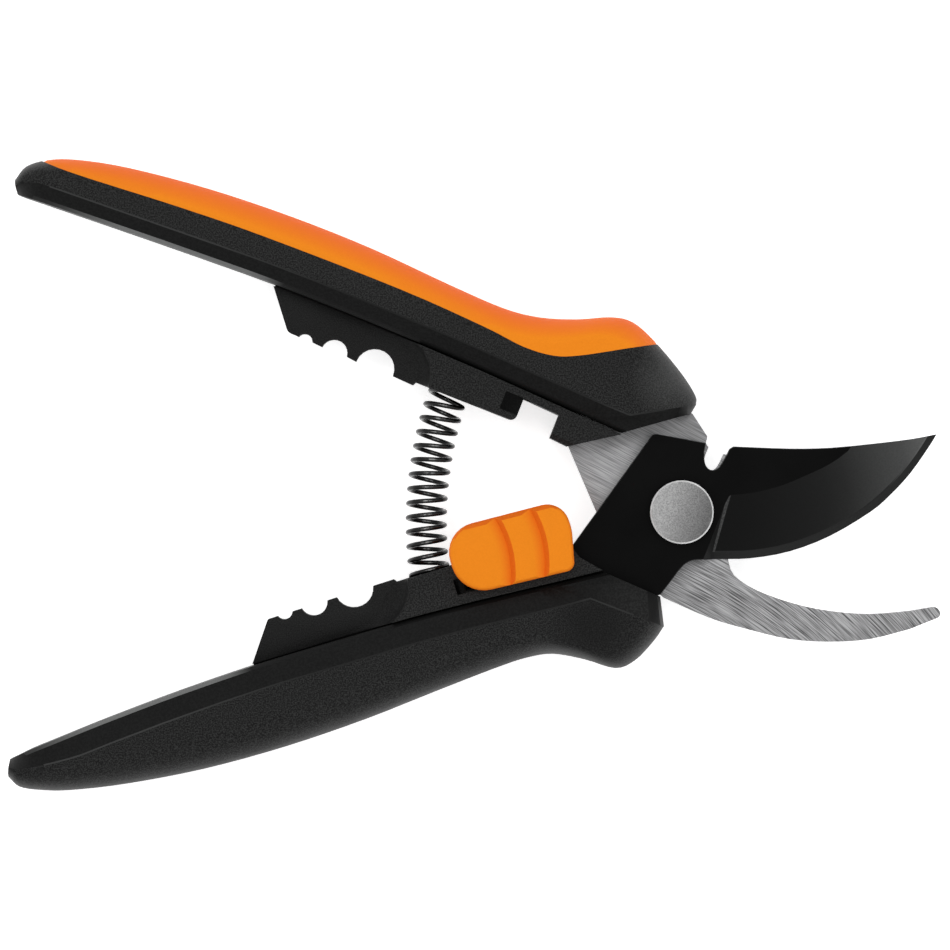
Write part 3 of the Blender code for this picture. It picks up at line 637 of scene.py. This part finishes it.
# In millimetres: the inner radius of the pivot's rim, in the solid and as it shows, and how far the orange
# insert grows towards the shell under it
RIM_DRAWN = 5.5
RIM_SHOWN = 5.68
SEAM_CLOSING = 0.28


def make_grip():
    """The orange insert, closed up to the black shell under it."""
    shape = from_node("upper_grip")
    turn = to_lever("upper_grip")
    moves = {}
    for face in shape.faces:
        normal = turn @ face.normal
        if normal.y < -0.6 and abs(normal.z) < 0.3:
            for corner in face.verts:
                moves.setdefault(corner, []).append(face.normal.copy())
    for corner, normals in moves.items():
        corner.co += sum(normals, Vector()).normalized() * SEAM_CLOSING * MM
    crease(shape, SHARP_ANGLE)
    piece = new_piece("upper_grip_form", shape, [SLOTS["upper_grip"]], BODIES["upper_grip"])
    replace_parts(piece, "upper_grip")


dress("cutting_blade", 0.0, blade_kind, BLADE_ROUNDS, BLADE_FINISHES)
dress("counter_blade", 0.12, plain_kind, (), {})
dress("pivot_rivet", 0.0, rivet_kind, (), RIVET_FINISHES)
dress("pivot_collar", 0.0, rivet_kind, (), RIVET_FINISHES)
dress("lower_core", 0.2, core_kind, (), CORE_FINISHES, ("rest",))
dress("upper_core", 0.2, core_kind, (), CORE_FINISHES, ("rest",))
dress("lock_slider", 0.0, button_kind, (), BUTTON_FINISHES, ("side", "ramp"))
dress("lock_retainer", 0.2, plain_kind, (), {})
lower_kind = handle_kind(side=-1, end=-131.0, front=-0.35)
upper_kind = handle_kind(side=1, end=-134.5, front=0.15)
dress("lower_handle", 0.0, lower_kind, HANDLE_ROUNDS, HANDLE_FINISHES, ("round",))
dress("upper_handle", 0.0, upper_kind, HANDLE_ROUNDS, HANDLE_FINISHES, ("round",))
make_grip()

# Return spring, in millimetres: a coil on an arc from one core to the other, which runs on straight into
# their pockets and narrows a little at its upper end. Turns are counted from the mouth of the lower pocket.
ARC_CENTRE = PIVOT + Vector((25.89, -1.19, 0.0)) * MM
ARC_RADIUS = 73.73
ARC_START = math.radians(189.32)
ARC_TURN = math.radians(2.0216)
ARC_TURNS = 13.0
COIL_RADIUS = 3.5
END_TAPER = 0.12
WIRE = 0.9
LOWER_TURNS = 1.75
UPPER_TURNS = 1.5
POCKET_PITCH = 3.2
CURL_POINTS = 24
WIRE_SIDES = 10
WIRE_SHARP_ANGLE = 60.0


def tube(points, radius, sides):
    """A round wire through the points, closed at both ends."""
    shape = bmesh.new()
    rows = []
    normal = Vector((0.0, 0.0, 1.0))
    for index, point in enumerate(points):
        before = points[max(index - 1, 0)]
        after = points[min(index + 1, len(points) - 1)]
        tangent = (after - before).normalized()
        normal = (normal - tangent * normal.dot(tangent)).normalized()
        side = tangent.cross(normal)
        row = []
        for step in range(sides):
            angle = 2.0 * math.pi * step / sides
            outwards = normal * math.cos(angle) + side * math.sin(angle)
            row.append(shape.verts.new(point + outwards * radius))
        rows.append(row)
    for first, second in zip(rows, rows[1:]):
        for here in range(sides):
            after = (here + 1) % sides
            shape.faces.new((first[here], first[after], second[after], second[here]))
    shape.faces.new(list(reversed(rows[0])))
    shape.faces.new(rows[-1])
    bmesh.ops.recalc_face_normals(shape, faces=shape.faces)
    return shape


def spring_axis(turn):
    """The middle of the coil at a turn, and the direction out from the arc's centre."""
    on_arc = min(max(turn, 0.0), ARC_TURNS)
    angle = ARC_START - on_arc * ARC_TURN
    outwards = Vector((math.cos(angle), math.sin(angle), 0.0))
    side = 1.0 if turn > on_arc else -1.0
    along = Vector((math.sin(HALF_OPENING), side * math.cos(HALF_OPENING), 0.0))
    past = abs(turn - on_arc) * POCKET_PITCH * MM
    return ARC_CENTRE + outwards * ARC_RADIUS * MM + along * past, outwards


def spring_points():
    points = []
    for index in range(round((LOWER_TURNS + ARC_TURNS + UPPER_TURNS) * CURL_POINTS) + 1):
        turn = index / CURL_POINTS - LOWER_TURNS
        middle, outwards = spring_axis(turn)
        curl = 2.0 * math.pi * turn
        taper = END_TAPER * min(max(turn - ARC_TURNS + 1.0, 0.0), 1.0)
        coil = (COIL_RADIUS - taper) * MM
        rise = Vector((0.0, 0.0, coil * math.sin(curl)))
        points.append(middle + outwards * coil * math.cos(curl) + rise)
    return points


wire = tube(spring_points(), WIRE / 2 * MM, WIRE_SIDES)
crease(wire, WIRE_SHARP_ANGLE)
spring = new_piece("return_spring_wire", wire, ["spring_steel"], None)
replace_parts(spring, "return_spring")
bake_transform(spring)

# Stage: a light table, a pale surround and softboxes
FLOOR_SIZE = 6.0
FLOOR_GLOW = 0.62
SOFTBOX = {"elevation": 55.0, "distance": 1.2, "size": 0.8}


def make_floor():
    shape = bmesh.new()
    bmesh.ops.create_grid(shape, x_segments=1, y_segments=1, size=FLOOR_SIZE / 2)
    mesh = bpy.data.meshes.new("floor")
    shape.to_mesh(mesh)
    shape.free()
    floor = bpy.data.objects.new("floor", mesh)
    bpy.context.scene.collection.objects.link(floor)
    nodes = Nodes("floor")
    place = nodes.coordinates()
    fine = nodes.noise(place, 400.0)
    colour = nodes.ramp(fine, (0.3, neutral(0.90)), (0.7, neutral(0.92)))
    rough = nodes.spread(fine, 0.75, 0.85)
    nodes.shader.inputs["Emission Color"].default_value = (1.0, 1.0, 1.0, 1.0)
    nodes.shader.inputs["Emission Strength"].default_value = FLOOR_GLOW
    mesh.materials.append(nodes.finish(colour, rough, nodes.bump(fine, 0.02, 0.0001), specular=0.1))


def make_light(name, azimuth, power, elevation, distance, size):
    """A square light that faces the tool."""
    data = bpy.data.lights.new(name, "AREA")
    data.shape = "SQUARE"
    data.size = size
    data.energy = power
    light = bpy.data.objects.new(name, data)
    bpy.context.scene.collection.objects.link(light)
    turn = math.radians(azimuth)
    rise = math.radians(elevation)
    direction = Vector((math.cos(rise) * math.cos(turn), math.cos(rise) * math.sin(turn), math.sin(rise)))
    light.location = direction * distance
    light.rotation_euler = direction.to_track_quat("Z", "Y").to_euler()


def make_world():
    """A pale surround, bright at the horizon and dim overhead, where the camera is."""
    world = bpy.data.worlds.new("studio")
    world.use_nodes = True
    tree = world.node_tree
    background = tree.nodes["Background"]
    place = tree.nodes.new("ShaderNodeTexCoord")
    parts = tree.nodes.new("ShaderNodeSeparateXYZ")
    ramp = tree.nodes.new("ShaderNodeValToRGB")
    low, high = ramp.color_ramp.elements
    low.position = 0.0
    low.color = (0.95, 0.95, 0.95, 1.0)
    high.position = 0.9
    high.color = (0.55, 0.55, 0.55, 1.0)
    tree.links.new(place.outputs["Generated"], parts.inputs["Vector"])
    tree.links.new(parts.outputs["Z"], ramp.inputs["Fac"])
    tree.links.new(ramp.outputs["Color"], background.inputs["Color"])
    bpy.context.scene.world = world


def make_camera():
    data = bpy.data.cameras.new("camera")
    data.sensor_width = SENSOR
    data.lens = (CAMERA_HEIGHT - PIVOT.z) * SENSOR / FRAME_WIDTH
    data.clip_end = 10.0
    camera = bpy.data.objects.new("camera", data)
    bpy.context.scene.collection.objects.link(camera)
    camera.location = (*CAMERA_OVER, CAMERA_HEIGHT)
    camera.rotation_euler = (0.0, 0.0, CAMERA_TURN)
    bpy.context.scene.camera = camera


make_floor()
make_light("softbox_left", azimuth=150.0, power=1.6, **SOFTBOX)
make_light("softbox_right", azimuth=-10.0, power=1.6, **SOFTBOX)
make_light("softbox_top", azimuth=85.0, power=2.0, **SOFTBOX)
make_light("softbox_front", azimuth=270.0, power=1.6, **SOFTBOX)
make_light("key", azimuth=125.0, power=0.5, elevation=68.0, distance=1.3, size=0.12)
make_world()
make_camera()
bpy.context.scene.view_settings.view_transform = "Standard"
